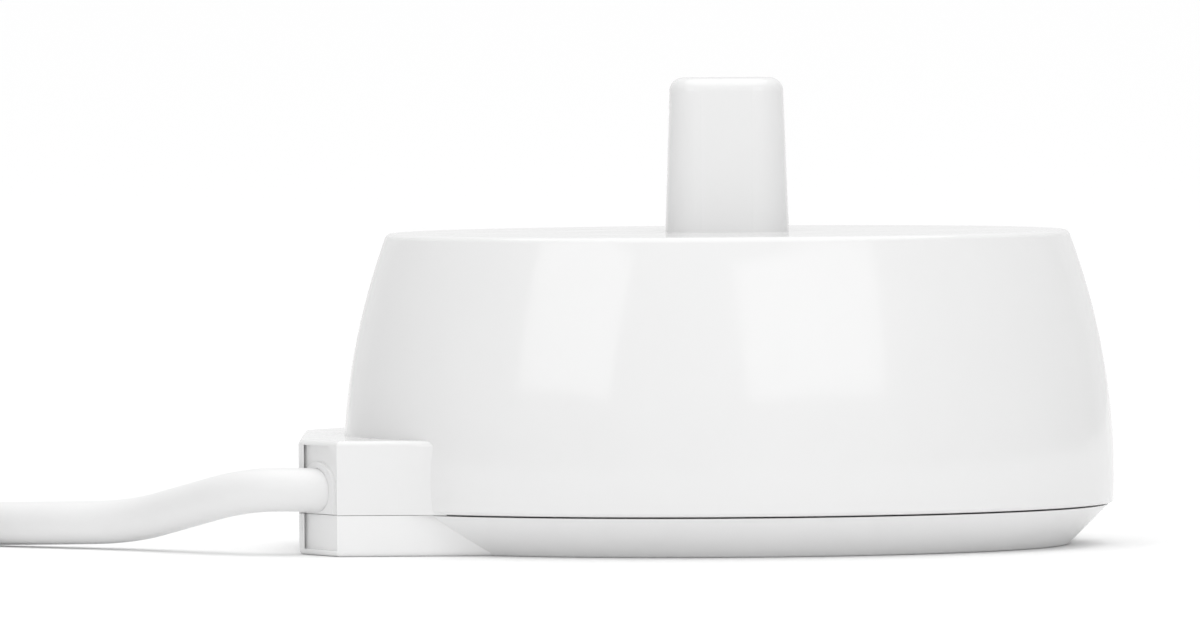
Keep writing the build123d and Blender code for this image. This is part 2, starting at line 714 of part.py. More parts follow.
def plug_pins():
    """Two round metal pins with rounded ends and a thinner root inside the sleeves."""
    pins = []
    for y in PIN_YS:
        tip = plug_rod(y, PIN_START_X - PIN_LENGTH, PIN_START_X - SLEEVE_LENGTH, PIN_RADIUS)
        tip = fillet(tip.edges().group_by(Axis.X)[0], 1.2)
        root = plug_rod(y, PIN_START_X - SLEEVE_LENGTH, PIN_START_X + PIN_ROOT_DEPTH, PIN_ROOT_RADIUS)
        pins.append(tip + root)
    return pins


def plug_boot():
    """Tapered, ribbed strain relief between the cord and the plug body."""
    narrow = plug_plane(BOOT_START_X) * Circle(CORD_RADIUS + 0.7)
    wide = plug_plane(BODY_START_X) * Circle(CORD_RADIUS + 2.2)
    boot = loft([wide, narrow], ruled=True)
    for i in range(BOOT_GROOVES):
        x = BOOT_START_X - 2.8 - 3.2 * i
        neck = CORD_RADIUS + 0.35 + 0.24 * i
        ring = Cylinder(6, 1.2) - Cylinder(neck, 1.2)
        boot = boot - Pos(x, PLUG_Y, PLUG_Z) * Rot(0, 90, 0) * ring
    return boot


def main():
    """Build every sub-part, fit the touching pairs face to face and write the files."""
    os.makedirs("parts", exist_ok=True)
    tube = cord_tube()
    lead = plug_tube()
    save(upper_housing(), "upper_housing")
    save(bottom_cover() - tube, "bottom_cover")
    save(housing_seal(), "housing_seal")
    save(anti_slip_pads(), "anti_slip_pads")
    save(ferrite_core(), "ferrite_core")
    save(coil_bobbin(), "coil_bobbin")
    save(primary_winding(), "primary_winding")
    save(bobbin_pins(), "bobbin_pins")
    save(circuit_board(), "circuit_board")
    save(input_capacitor(), "input_capacitor")
    save(reservoir_capacitor(), "reservoir_capacitor")
    save(resonance_capacitor(), "resonance_capacitor")
    save(filter_choke(), "filter_choke")
    save([lying_part(spot, 4.2, 0.85, 3.2) for spot in DIODE_SPOTS], "rectifier_diodes")
    save(switching_transistor(), "switching_transistor")
    save(lying_part(FUSE_SPOT, 6.0, 1.2, 4.0), "fuse_resistor")
    save([lying_part(spot, 2.6, 0.8, 2.1) for spot in RESISTOR_SPOTS], "board_resistors")
    save(board_screws(), "board_screws")
    save(cord_clamp() - tube, "cord_clamp")
    save(clamp_screws(), "clamp_screws")
    save(core_wire(0.85, WIRE_PADS[1]), "live_wire")
    save(core_wire(-0.85, WIRE_PADS[0]), "neutral_wire")
    save(strain_relief() - tube, "strain_relief")
    save(tube, "power_cord")
    save(lead, "plug_lead")
    coil = cord_coil()
    save(coil, "cord_coil")
    save(cord_tie() - coil, "cord_tie")
    save(plug_boot(), "plug_strain_relief")
    save(plug_body(), "plug_body")
    save(pin_sleeves(), "pin_sleeves")
    save(plug_pins(), "plug_pins")


main()
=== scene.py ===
"""Looks for the inductive toothbrush charging base: materials, cord, coil, plug, light and camera."""

from math import cos, pi, radians, sin

import bmesh
import bpy
from mathutils import Matrix, Vector


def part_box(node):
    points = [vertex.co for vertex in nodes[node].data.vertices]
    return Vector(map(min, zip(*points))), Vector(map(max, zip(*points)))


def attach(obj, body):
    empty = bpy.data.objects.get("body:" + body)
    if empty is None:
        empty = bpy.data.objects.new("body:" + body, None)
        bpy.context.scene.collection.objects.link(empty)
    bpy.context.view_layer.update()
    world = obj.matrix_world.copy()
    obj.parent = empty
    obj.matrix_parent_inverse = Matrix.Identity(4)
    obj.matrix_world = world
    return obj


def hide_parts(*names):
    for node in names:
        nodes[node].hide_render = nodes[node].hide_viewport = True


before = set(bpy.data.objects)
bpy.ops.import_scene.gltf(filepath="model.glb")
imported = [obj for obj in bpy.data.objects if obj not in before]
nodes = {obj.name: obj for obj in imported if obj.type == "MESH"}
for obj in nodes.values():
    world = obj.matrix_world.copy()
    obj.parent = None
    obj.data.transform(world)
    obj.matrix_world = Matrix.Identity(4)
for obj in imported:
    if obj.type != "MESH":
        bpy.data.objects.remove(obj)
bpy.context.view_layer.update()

MM = 0.001
FULL_TURN = 2 * pi
BODY = "root"

# ---------------------------------------------------------------- places taken from the frame

coil_low, coil_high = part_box("cord_coil")
plug_low, plug_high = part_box("plug_body")
core_low, core_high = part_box("ferrite_core")

BODY_X = (core_low.x + core_high.x) / 2
COIL_X = (coil_low.x + coil_high.x) / 2
COIL_Y = (coil_low.y + coil_high.y) / 2
COIL_FLOOR = coil_low.z
PLUG_Y = (plug_low.y + plug_high.y) / 2
PLUG_Z = (plug_low.z + plug_high.z) / 2
PLUG_START_X = plug_high.x
BOOT_START_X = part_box("plug_strain_relief")[1].x
BOARD_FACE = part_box("circuit_board")[1].z


def smooth_step(value):
    """0 to 1 with level ends; values beyond them are held."""
    value = min(max(value, 0.0), 1.0)
    return value * value * (3 - 2 * value)


# ---------------------------------------------------------------- texture parts

# Most of a noise texture's values lie between these two
NOISE_LOW = 0.3
NOISE_HIGH = 0.7


def new_material(name):
    """A node material with a Principled shader; returns the material, its tree and the shader."""
    material = bpy.data.materials.new(name)
    material.use_nodes = True
    tree = material.node_tree
    shader = tree.nodes["Principled BSDF"]
    return material, tree, shader


def grey(level):
    """A neutral colour."""
    return (level, level, level)


def object_place(tree):
    """The object's own coordinates, in metres, which are those of the part's frame."""
    return tree.nodes.new("ShaderNodeTexCoord").outputs["Object"]


def stretch(tree, scale):
    """Object coordinates scaled by axis: below 1 draws the marks out along that axis."""
    mapping = tree.nodes.new("ShaderNodeMapping")
    mapping.inputs["Scale"].default_value = scale
    tree.links.new(object_place(tree), mapping.inputs["Vector"])
    return mapping.outputs["Vector"]


def noise(tree, scale, detail, vector=None):
    """Noise over the given coordinates, or over the object's own."""
    node = tree.nodes.new("ShaderNodeTexNoise")
    node.inputs["Scale"].default_value = scale
    node.inputs["Detail"].default_value = detail
    if vector is None:
        vector = object_place(tree)
    tree.links.new(vector, node.inputs["Vector"])
    return node.outputs["Fac"]


def wave(tree, direction, scale, distortion):
    """Even bands across one axis of the object's own coordinates."""
    node = tree.nodes.new("ShaderNodeTexWave")
    node.bands_direction = direction
    node.inputs["Scale"].default_value = scale
    node.inputs["Distortion"].default_value = distortion
    tree.links.new(object_place(tree), node.inputs["Vector"])
    return node


def spread(tree, value, low, high):
    """Map a noise value's usual range onto low to high, and hold what lies beyond."""
    node = tree.nodes.new("ShaderNodeMapRange")
    node.inputs["From Min"].default_value = NOISE_LOW
    node.inputs["From Max"].default_value = NOISE_HIGH
    node.inputs["To Min"].default_value = low
    node.inputs["To Max"].default_value = high
    tree.links.new(value, node.inputs["Value"])
    return node.outputs["Result"]


def tint(tree, value, dark, light):
    """Blend between two colours."""
    node = tree.nodes.new("ShaderNodeMix")
    node.data_type = "RGBA"
    node.inputs["A"].default_value = (*dark, 1)
    node.inputs["B"].default_value = (*light, 1)
    tree.links.new(value, node.inputs["Factor"])
    return node.outputs["Result"]


def bump(tree, shader, value, strength, distance):
    """Raise the shading by a value from 0 to 1, over a distance in metres."""
    node = tree.nodes.new("ShaderNodeBump")
    node.inputs["Strength"].default_value = strength
    node.inputs["Distance"].default_value = distance
    tree.links.new(value, node.inputs["Height"])
    tree.links.new(node.outputs["Normal"], shader.inputs["Normal"])


def above(tree, height):
    """1 above a height in the part's frame, 0 below it, with a soft step between."""
    axes = tree.nodes.new("ShaderNodeSeparateXYZ")
    step = tree.nodes.new("ShaderNodeMapRange")
    step.inputs["From Min"].default_value = height - 0.1 * MM
    step.inputs["From Max"].default_value = height + 0.1 * MM
    tree.links.new(object_place(tree), axes.inputs["Vector"])
    tree.links.new(axes.outputs["Z"], step.inputs["Value"])
    return step.outputs["Result"]


# ---------------------------------------------------------------- materials

# Scales of the noise textures: the larger, the finer the marks
CLOUD_SCALE = 55.0
GLOSS_SCALE = 170.0
RUBBER_GRAIN_SCALE = 2600.0
METAL_CLOUD_SCALE = 400.0
METAL_MARK_SCALE = 5200.0
COMPONENT_CLOUD_SCALE = 500.0
COMPONENT_GLOSS_SCALE = 1500.0
COPPER_GLOSS_SCALE = 900.0
FIBRE_SCALE = 2400.0
BOARD_GLOSS_SCALE = 600.0
STRAP_GLOSS_SCALE = 2000.0

# Scales of the band textures: a band every 0.16 mm and every 0.45 mm
WIRE_ROUNDS_SCALE = 2000.0
THREAD_SCALE = 700.0

PLASTIC_IOR = 1.5
BRUSHED_ALONG_X = (0.04, 1.0, 1.0)
FIBRES_ALONG_X = (0.15, 1.0, 1.0)
LEAD_TINNED = (0.72, 0.72, 0.70)


def moulded(name, dark, light, rough_low, rough_high, grain, depth):
    """Moulded surface: slight clouding of colour and gloss, and a fine skin texture."""
    material, tree, shader = new_material(name)
    shader.inputs["IOR"].default_value = PLASTIC_IOR
    clouds = noise(tree, CLOUD_SCALE, 3.0)
    tree.links.new(tint(tree, spread(tree, clouds, 0.0, 1.0), dark, light), shader.inputs["Base Color"])
    patches = noise(tree, GLOSS_SCALE, 4.0)
    tree.links.new(spread(tree, patches, rough_low, rough_high), shader.inputs["Roughness"])
    bump(tree, shader, noise(tree, grain, 2.0), 1.0, depth)
    return material


def rubber(name, dark, light):
    """Soft elastomer with a matt, finely pebbled skin."""
    return moulded(name, dark, light, 0.62, 0.80, RUBBER_GRAIN_SCALE, 1.2e-5)


def metal(name, dark, light, rough_low, rough_high, brushed):
    """Plated or tinned metal, with fine drawing marks along X where it is brushed."""
    material, tree, shader = new_material(name)
    shader.inputs["Metallic"].default_value = 1.0
    clouds = noise(tree, METAL_CLOUD_SCALE, 3.0)
    tree.links.new(tint(tree, clouds, dark, light), shader.inputs["Base Color"])
    marks = noise(tree, METAL_MARK_SCALE, 3.0, stretch(tree, BRUSHED_ALONG_X) if brushed else None)
    tree.links.new(spread(tree, marks, rough_low, rough_high), shader.inputs["Roughness"])
    bump(tree, shader, marks, 0.6, 2e-6)
    return material


def component(name, dark, light, rough_low, rough_high, grain, depth):
    """Body of a board component, with bare tinned leads from the board's face down."""
    material, tree, shader = new_material(name)
    body = above(tree, BOARD_FACE)
    clouds = noise(tree, COMPONENT_CLOUD_SCALE, 3.0)
    skin_colour = tint(tree, spread(tree, clouds, 0.0, 1.0), dark, light)
    colour = tree.nodes.new("ShaderNodeMix")
    colour.data_type = "RGBA"
    colour.inputs["A"].default_value = (*LEAD_TINNED, 1)
    tree.links.new(body, colour.inputs["Factor"])
    tree.links.new(skin_colour, colour.inputs["B"])
    tree.links.new(colour.outputs["Result"], shader.inputs["Base Color"])
    bare = tree.nodes.new("ShaderNodeMath")
    bare.operation = "SUBTRACT"
    bare.inputs[0].default_value = 1.0
    tree.links.new(body, bare.inputs[1])
    tree.links.new(bare.outputs["Value"], shader.inputs["Metallic"])
    patches = noise(tree, COMPONENT_GLOSS_SCALE, 3.0)
    tree.links.new(spread(tree, patches, rough_low, rough_high), shader.inputs["Roughness"])
    bump(tree, shader, noise(tree, grain, 3.0), 1.0, depth)
    return material


def wound_copper(name, dark, light):
    """Enamelled copper wire in close layers: fine rounds up the winding, with painted shade in the grooves
    between them.
    """
    material, tree, shader = new_material(name)
    shader.inputs["Metallic"].default_value = 0.9
    rounds = wave(tree, "Z", WIRE_ROUNDS_SCALE, 0.6)
    rounds.inputs["Detail Scale"].default_value = 4.0
    round_shape_and_shade = rounds.outputs["Fac"]
    # Painted shade: the colour darkens in the grooves between the rounds, where the bump is low
    tree.links.new(tint(tree, round_shape_and_shade, dark, light), shader.inputs["Base Color"])
    patches = noise(tree, COPPER_GLOSS_SCALE, 3.0)
    tree.links.new(spread(tree, patches, 0.22, 0.36), shader.inputs["Roughness"])
    bump(tree, shader, round_shape_and_shade, 0.8, 3e-5)
    return material


def laminate(name, dark, light):
    """Phenolic paper board with its pressed fibres."""
    material, tree, shader = new_material(name)
    fibres = noise(tree, FIBRE_SCALE, 5.0, stretch(tree, FIBRES_ALONG_X))
    tree.links.new(tint(tree, fibres, dark, light), shader.inputs["Base Color"])
    patches = noise(tree, BOARD_GLOSS_SCALE, 3.0)
    tree.links.new(spread(tree, patches, 0.40, 0.58), shader.inputs["Roughness"])
    bump(tree, shader, fibres, 0.6, 1e-5)
    return material


def strap_weave(name, dark, light):
    """Woven strap: crossed threads with a dull, slightly fuzzy surface, and painted shade in the gaps between
    the threads.
    """
    material, tree, shader = new_material(name)
    shader.inputs["Sheen Weight"].default_value = 0.35
    crossing = tree.nodes.new("ShaderNodeMath")
    crossing.operation = "MAXIMUM"
    for socket, direction in zip(crossing.inputs, ("X", "Y")):
        threads = wave(tree, direction, THREAD_SCALE, 0.8)
        tree.links.new(threads.outputs["Fac"], socket)
    weave = crossing.outputs["Value"]
    # Painted shade: the colour darkens in the gaps where neither thread crosses, where the bump is low
    tree.links.new(tint(tree, weave, dark, light), shader.inputs["Base Color"])
    patches = noise(tree, STRAP_GLOSS_SCALE, 3.0)
    tree.links.new(spread(tree, patches, 0.70, 0.88), shader.inputs["Roughness"])
    bump(tree, shader, weave, 0.8, 5e-5)
    return material


# Colours are in linear light, the darker one of each pair first
housing_white = moulded("housing_white", grey(0.82), grey(0.84), 0.07, 0.11, 900.0, 2e-6)
# Bottom cover: its own white, set lighter than the housing's as painted light that offsets the shade it gets
# from the shadowed floor beside it
cover_white_painted_light = moulded("cover_white_painted_light", grey(0.86), grey(0.88), 0.20, 0.26, 1100.0, 3e-6)
cord_white = moulded("cord_white", grey(0.80), grey(0.83), 0.38, 0.46, 1400.0, 4e-6)
plug_white = moulded("plug_white", (0.74, 0.74, 0.73), (0.78, 0.78, 0.77), 0.30, 0.40, 1500.0, 6e-6)
nylon = moulded("nylon", (0.70, 0.68, 0.62), (0.76, 0.74, 0.68), 0.38, 0.50, 1200.0, 5e-6)
sleeve_black = moulded("sleeve_black", grey(0.018), grey(0.03), 0.34, 0.46, 1800.0, 6e-6)
live_brown = moulded("live_brown", (0.17, 0.07, 0.03), (0.21, 0.09, 0.04), 0.35, 0.48, 1500.0, 5e-6)
neutral_blue = moulded("neutral_blue", (0.03, 0.12, 0.38), (0.05, 0.16, 0.46), 0.35, 0.48, 1500.0, 5e-6)
seal_grey = rubber("seal_grey", (0.07, 0.07, 0.075), (0.10, 0.10, 0.105))
pad_grey = rubber("pad_grey", (0.30, 0.31, 0.32), (0.36, 0.37, 0.38))
ferrite_dark = moulded("ferrite_dark", (0.018, 0.018, 0.020), (0.045, 0.045, 0.048), 0.55, 0.75, 4200.0, 2e-5)
choke_dark = component("choke_dark", (0.018, 0.018, 0.020), (0.045, 0.045, 0.048), 0.55, 0.75, 4200.0, 2e-5)
film_yellow = component("film_yellow", (0.55, 0.42, 0.05), (0.64, 0.50, 0.08), 0.22, 0.34, 1500.0, 5e-6)
can_dark = component("can_dark", (0.012, 0.016, 0.035), (0.02, 0.025, 0.05), 0.25, 0.36, 1200.0, 5e-6)
epoxy_black = component("epoxy_black", grey(0.012), grey(0.022), 0.40, 0.55, 3000.0, 8e-6)
lacquer_blue = component("lacquer_blue", (0.26, 0.36, 0.42), (0.34, 0.44, 0.50), 0.35, 0.50, 2600.0, 1e-5)
screw_zinc = metal("screw_zinc", (0.50, 0.50, 0.51), (0.66, 0.66, 0.67), 0.25, 0.42, False)
tinned = metal("tinned", (0.60, 0.60, 0.58), (0.74, 0.74, 0.72), 0.28, 0.45, False)
nickel = metal("nickel", (0.66, 0.65, 0.62), (0.78, 0.77, 0.74), 0.12, 0.24, True)
copper = wound_copper("winding_copper", (0.30, 0.10, 0.035), (0.72, 0.30, 0.12))
board_brown = laminate("board_brown", (0.26, 0.15, 0.055), (0.44, 0.29, 0.12))
strap_grey = strap_weave("strap_grey", grey(0.50), (0.68, 0.68, 0.67))

FINISHES = {
    "upper_housing": housing_white,
    "bottom_cover": cover_white_painted_light,
    "strain_relief": cord_white,
    "housing_seal": seal_grey,
    "anti_slip_pads": pad_grey,
    "ferrite_core": ferrite_dark,
    "coil_bobbin": nylon,
    "primary_winding": copper,
    "bobbin_pins": tinned,
    "circuit_board": board_brown,
    "input_capacitor": film_yellow,
    "reservoir_capacitor": can_dark,
    "resonance_capacitor": film_yellow,
    "filter_choke": choke_dark,
    "rectifier_diodes": epoxy_black,
    "switching_transistor": epoxy_black,
    "fuse_resistor": lacquer_blue,
    "board_resistors": lacquer_blue,
    "board_screws": screw_zinc,
    "cord_clamp": nylon,
    "clamp_screws": screw_zinc,
    "live_wire": live_brown,
    "neutral_wire": neutral_blue,
    "pin_sleeves": sleeve_black,
    "plug_pins": nickel,
}


def assign(name, material):
    """Give a carried-over CAD piece its material."""
    piece = nodes[name]
    piece.data.materials.clear()
    piece.data.materials.append(material)


for node_name, finish in FINISHES.items():
    assign(node_name, finish)

# ---------------------------------------------------------------- camera

CAMERA_BACK = 1.100
CAMERA_HEIGHT = 0.051
CAMERA_SIDE = -0.01031
CAMERA_PITCH = radians(90.0 - 1.7025)
CAMERA_ROLL = radians(-0.40)
FOCAL = 409.2
SENSOR_WIDTH = 36.0
NEAREST_SEEN = 0.05
FARTHEST_SEEN = 20.0

camera_data = bpy.data.cameras.new("camera")
camera_data.lens = FOCAL
camera_data.sensor_width = SENSOR_WIDTH
camera_data.clip_start = NEAREST_SEEN
camera_data.clip_end = FARTHEST_SEEN
camera = bpy.data.objects.new("camera", camera_data)
camera.location = (BODY_X + CAMERA_SIDE, -CAMERA_BACK, CAMERA_HEIGHT)
camera.rotation_mode = "XYZ"
tilt = Matrix.Rotation(CAMERA_PITCH, 4, "X")
roll = Matrix.Rotation(CAMERA_ROLL, 4, "Z")
camera.rotation_euler = (tilt @ roll).to_euler()
bpy.context.scene.collection.objects.link(camera)
bpy.context.scene.camera = camera

# ---------------------------------------------------------------- cord

CORD_DIAMETER = 3.5 * MM
CORD_RADIUS = CORD_DIAMETER / 2
SPLINE_ORDER = 3
SPLINE_STEPS = 8
ROUND_STEPS = 8

# The coil: two layers of turns side by side, inwards on the floor and outwards on top
COIL_COLUMNS = 5
COIL_TURNS = 2 * COIL_COLUMNS - 1
COIL_MIDDLE_RADIUS = 19.15 * MM
COIL_PITCH = 3.5 * MM
LAYER_RISE = 3.45 * MM
POINTS_PER_TURN = 18
OUTER_RADIUS = COIL_MIDDLE_RADIUS + COIL_PITCH * (COIL_COLUMNS - 1) / 2
LOW_TURN_Z = COIL_FLOOR + CORD_RADIUS
HIGH_TURN_Z = LOW_TURN_Z + LAYER_RISE

# Each turn steps over to its own place between these two angles
SHIFT_FROM = radians(10.0)
SHIFT_TO = radians(70.0)

# How far back from the peg's axis the cord starts to run straight at the coil
COIL_APPROACH = 79.4 * MM

# How far from the coil's middle line the cord runs straight, before its first turn and after its last
COIL_STRAIGHT = 2.0 * MM

# The lead: level as far as this from the coil's middle line, then down to these places at the plug
LEAD_LEVEL = 7.0 * MM
LEAD_BEFORE_BOOT = 4.5 * MM
LEAD_IN_BOOT = 6.0 * MM
LEAD_IN_PLUG = 4.0 * MM

# The cord's way from inside the housing to the coil, in millimetres, given as in the CAD model:
# X and Y from the peg's axis, Z from the floor
ROUTE = [
    (-20.0, -11.7, 4.6),
    (-26.8, -11.5, 4.8),
    (-33.6, -12.1, 5.3),
    (-38.8, -9.9, 5.2),
    (-43.6, -4.9, 3.7),
    (-48.2, 0.4, 2.25),
    (-54.5, 4.8, 2.0),
    (-62.8, 11.0, 1.75),
    (-71.2, 17.3, 1.75),
]


def winding_slot(turn):
    """Radius and height of one whole turn; before the first turn, those of the first."""
    turn = max(turn, 0)
    if turn < COIL_COLUMNS:
        return OUTER_RADIUS - COIL_PITCH * turn, LOW_TURN_Z
    return OUTER_RADIUS - COIL_PITCH * (COIL_TURNS - turn), HIGH_TURN_Z


def coil_place(angle):
    """Radius and height of the winding at an angle from +X that grows on, turn after turn."""
    turn = int((angle - SHIFT_FROM) // FULL_TURN)
    within = (angle - SHIFT_FROM) - turn * FULL_TURN
    share = smooth_step(within / (SHIFT_TO - SHIFT_FROM))
    here = winding_slot(turn)
    before = winding_slot(turn - 1)
    radius = before[0] + (here[0] - before[0]) * share
    height = before[1] + (here[1] - before[1]) * share
    return radius, height


def coil_points():
    """Control points of the coil's turns, which start and end where the cord runs along X."""
    first = pi / 2
    last = first + FULL_TURN * COIL_TURNS
    steps = round((last - first) / FULL_TURN * POINTS_PER_TURN)
    # The spline touches the sides of its control polygon halfway, so the corners stand outside the circle
    swell = 1 / cos(pi / POINTS_PER_TURN)
    points = []
    for i in range(steps):
        angle = first + (last - first) * (i + 0.5) / steps
        radius, height = coil_place(angle)
        radius = radius * swell
        points.append((COIL_X + radius * cos(angle), COIL_Y + radius * sin(angle), height))
    return points


def cord_points():
    """Control points of the whole cord: route, coil and the lead into the plug."""
    points = [(BODY_X + x * MM, y * MM, z * MM) for x, y, z in ROUTE]
    points.append((BODY_X - COIL_APPROACH, COIL_Y + OUTER_RADIUS, LOW_TURN_Z))
    points.append((COIL_X + COIL_STRAIGHT, COIL_Y + OUTER_RADIUS, LOW_TURN_Z))
    points.extend(coil_points())
    points.append((COIL_X - COIL_STRAIGHT, PLUG_Y, HIGH_TURN_Z))
    points.append((COIL_X - LEAD_LEVEL, PLUG_Y, HIGH_TURN_Z))
    points.append((BOOT_START_X + LEAD_BEFORE_BOOT, PLUG_Y, PLUG_Z))
    points.append((BOOT_START_X - LEAD_IN_BOOT, PLUG_Y, PLUG_Z))
    points.append((PLUG_START_X - LEAD_IN_PLUG, PLUG_Y, PLUG_Z))
    return points


def nurbs_cord(name, points, radius):
    """Round cord along one smooth spline."""
    curve = bpy.data.curves.new(name, "CURVE")
    curve.dimensions = "3D"
    curve.bevel_depth = radius
    curve.bevel_resolution = ROUND_STEPS
    curve.use_fill_caps = True
    spline = curve.splines.new("NURBS")
    spline.points.add(len(points) - 1)
    for control, place in zip(spline.points, points):
        control.co = (*place, 1.0)
    spline.order_u = SPLINE_ORDER
    spline.use_endpoint_u = True
    spline.resolution_u = SPLINE_STEPS
    piece = bpy.data.objects.new(name, curve)
    bpy.context.scene.collection.objects.link(piece)
    curve.materials.append(cord_white)
    return piece


cord = nurbs_cord("cord", cord_points(), CORD_RADIUS)
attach(cord, BODY)
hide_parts("power_cord", "cord_coil", "plug_lead")

# ---------------------------------------------------------------- helpers for the lofted pieces

END_STEPS = 6


def skin(name, rings, material, closed):
    """Mesh over a row of rings with equal numbers of points; closed joins the last ring to the first."""
    mesh = bpy.data.meshes.new(name)
    shape = bmesh.new()
    rows = [[shape.verts.new(point) for point in ring] for ring in rings]
    pairs = list(zip(rows, rows[1:]))
    if closed:
        pairs.append((rows[-1], rows[0]))
    else:
        shape.faces.new(list(reversed(rows[0])))
        shape.faces.new(rows[-1])
    for low_row, high_row in pairs:
        for i in range(len(low_row)):
            k = (i + 1) % len(low_row)
            shape.faces.new((low_row[i], low_row[k], high_row[k], high_row[i]))
    bmesh.ops.recalc_face_normals(shape, faces=shape.faces)
    for face in shape.faces:
        face.smooth = True
    shape.to_mesh(mesh)
    shape.free()
    piece = bpy.data.objects.new(name, mesh)
    bpy.context.scene.collection.objects.link(piece)
    mesh.materials.append(material)
    return piece


def squared(value, power):
    """A sine or cosine pushed out towards -1 and 1, which turns a circle into a rounded box."""
    return abs(value) ** power * (1 if value >= 0 else -1)


def edge_inset(place, length, radius):
    """How far a rounded end draws the outline in, at a place along the length."""
    near = min(place, length - place)
    if near >= radius:
        return 0.0
    return radius - (radius ** 2 - (radius - near) ** 2) ** 0.5


def end_places(length, radius, step):
    """Places along a length, closer together over its rounded ends."""
    bends = [radius * (1 - cos(pi / 2 * i / END_STEPS)) for i in range(END_STEPS + 1)]
    count = round((length - 2 * radius) / step)
    middle = [radius + (length - 2 * radius) * i / count for i in range(1, count)]
    return bends + middle + [length - place for place in reversed(bends)]


# ---------------------------------------------------------------- plug

PLUG_ROUND_POINTS = 72
PLUG_EDGE = 1.4 * MM
PLUG_STEP = 0.3 * MM
PLUG_SHOULDER = 15.0 * MM
NECK_HALF_WIDTH = 7.6 * MM
NECK_HALF_HEIGHT = 5.4 * MM

# Powers of the plug's rounded box section
PLUG_SIDE_POWER = 0.5
PLUG_FACE_POWER = 0.55

# Grooves of the grip: they end at GRIP_EDGE of the half width, and are full GRIP_FADE further in
GRIP_FROM = 8.0 * MM
GRIP_PITCH = 1.9 * MM
GRIP_COUNT = 7
GRIP_DEPTH = 0.4 * MM
GRIP_SHARPNESS = 1.5
GRIP_EDGE = 0.78
GRIP_FADE = 0.14


def grip_groove(place):
    """Depth of the grip's grooves at a place along the plug."""
    ridge = (place - GRIP_FROM) / GRIP_PITCH
    if 0 < ridge < GRIP_COUNT:
        return GRIP_DEPTH * (0.5 - 0.5 * cos(FULL_TURN * ridge)) ** GRIP_SHARPNESS
    return 0.0


def plug_shell():
    """Flat plug body: narrower towards the cord, rounded all over, with a ribbed grip on both flat faces."""
    length = plug_high.x - plug_low.x
    half_width = (plug_high.y - plug_low.y) / 2
    half_height = (plug_high.z - plug_low.z) / 2
    rings = []
    for place in end_places(length, PLUG_EDGE, PLUG_STEP):
        inset = edge_inset(place, length, PLUG_EDGE)
        share = smooth_step(place / PLUG_SHOULDER)
        width = NECK_HALF_WIDTH + (half_width - NECK_HALF_WIDTH) * share - inset
        height = NECK_HALF_HEIGHT + (half_height - NECK_HALF_HEIGHT) * share - inset
        groove = grip_groove(place)
        ring = []
        for i in range(PLUG_ROUND_POINTS):
            angle = FULL_TURN * i / PLUG_ROUND_POINTS
            y = width * squared(cos(angle), PLUG_SIDE_POWER)
            z = height * squared(sin(angle), PLUG_FACE_POWER)
            fade = smooth_step((GRIP_EDGE - abs(y) / width) / GRIP_FADE)
            z = z - (groove * fade if z > 0 else -groove * fade)
            ring.append((PLUG_START_X - place, PLUG_Y + y, PLUG_Z + z))
        rings.append(ring)
    return skin("plug_shell", rings, plug_white, False)


# ---------------------------------------------------------------- plug's strain relief

BOOT_ROUND_POINTS = 48
BOOT_STEPS = 120
BOOT_NARROW = 2.45 * MM
BOOT_WIDE = 3.95 * MM
BOOT_EDGE = 0.6 * MM
GROOVE_FROM = 2.8 * MM
GROOVE_PITCH = 3.2 * MM
GROOVE_WIDTH = 1.7 * MM
GROOVE_DEPTH = 0.62 * MM
GROOVE_COUNT = 4


def boot_radius(place, length):
    """Radius of the tapered strain relief with its rounded grooves, at a place from its narrow end."""
    radius = BOOT_NARROW + (BOOT_WIDE - BOOT_NARROW) * place / length
    if place < BOOT_EDGE:
        radius = radius - edge_inset(place, length, BOOT_EDGE)
    nearest = round((place - GROOVE_FROM) / GROOVE_PITCH)
    off = abs(place - GROOVE_FROM - nearest * GROOVE_PITCH) / (GROOVE_WIDTH / 2)
    if 0 <= nearest < GROOVE_COUNT and off < 1:
        radius = radius - GROOVE_DEPTH * (0.5 + 0.5 * cos(pi * off))
    return radius


def plug_boot():
    """Tapered strain relief with rounded ribs, its narrow end closed onto the cord."""
    length = BOOT_START_X - PLUG_START_X
    rings = []
    for k in range(BOOT_STEPS + 1):
        place = length * k / BOOT_STEPS
        radius = boot_radius(place, length)
        ring = []
        for i in range(BOOT_ROUND_POINTS):
            angle = FULL_TURN * i / BOOT_ROUND_POINTS
            ring.append((BOOT_START_X - place, PLUG_Y + radius * cos(angle), PLUG_Z + radius * sin(angle)))
        rings.append(ring)
    return skin("plug_boot", rings, plug_white, False)


# ---------------------------------------------------------------- cord tie

STRAP_HALF_THICK = 0.28 * MM
STRAP_CORNER = 2.0 * MM
STRAP_CORNER_STEPS = 8
STRAP_ROUND_POINTS = 16

# Powers of the strap's thin rounded section, across it and through it
STRAP_ACROSS_POWER = 0.25
STRAP_RISE_POWER = 0.6

# The lapped end: its start and its reach along X are shares of the band's half length
LAP_START = 0.75
LAP_REACH = 1.3
LAP_STEPS = 24
LAP_WIDTH = 0.94
LAP_LIFT = 0.45 * MM

# It starts thin and is full after a tenth of its length, and its last part lifts
LAP_THIN_SHARE = 0.1
LAP_THINNING = 0.45
LAP_TIP_FROM = 0.85
LAP_TIP_SHARE = 0.15
LAP_TIP_LIFT = 0.25 * MM


def strap_loop(half_x, half_z, corner, steps):
    """Points and outward directions round a rectangle with rounded corners."""
    loop = []
    for index, (side_x, side_z) in enumerate(((1, 1), (-1, 1), (-1, -1), (1, -1))):
        for i in range(steps + 1):
            angle = pi / 2 * (index + i / steps)
            out = (cos(angle), sin(angle))
            x = side_x * (half_x - corner) + corner * out[0]
            z = side_z * (half_z - corner) + corner * out[1]
            loop.append(((x, z), out))
    return loop


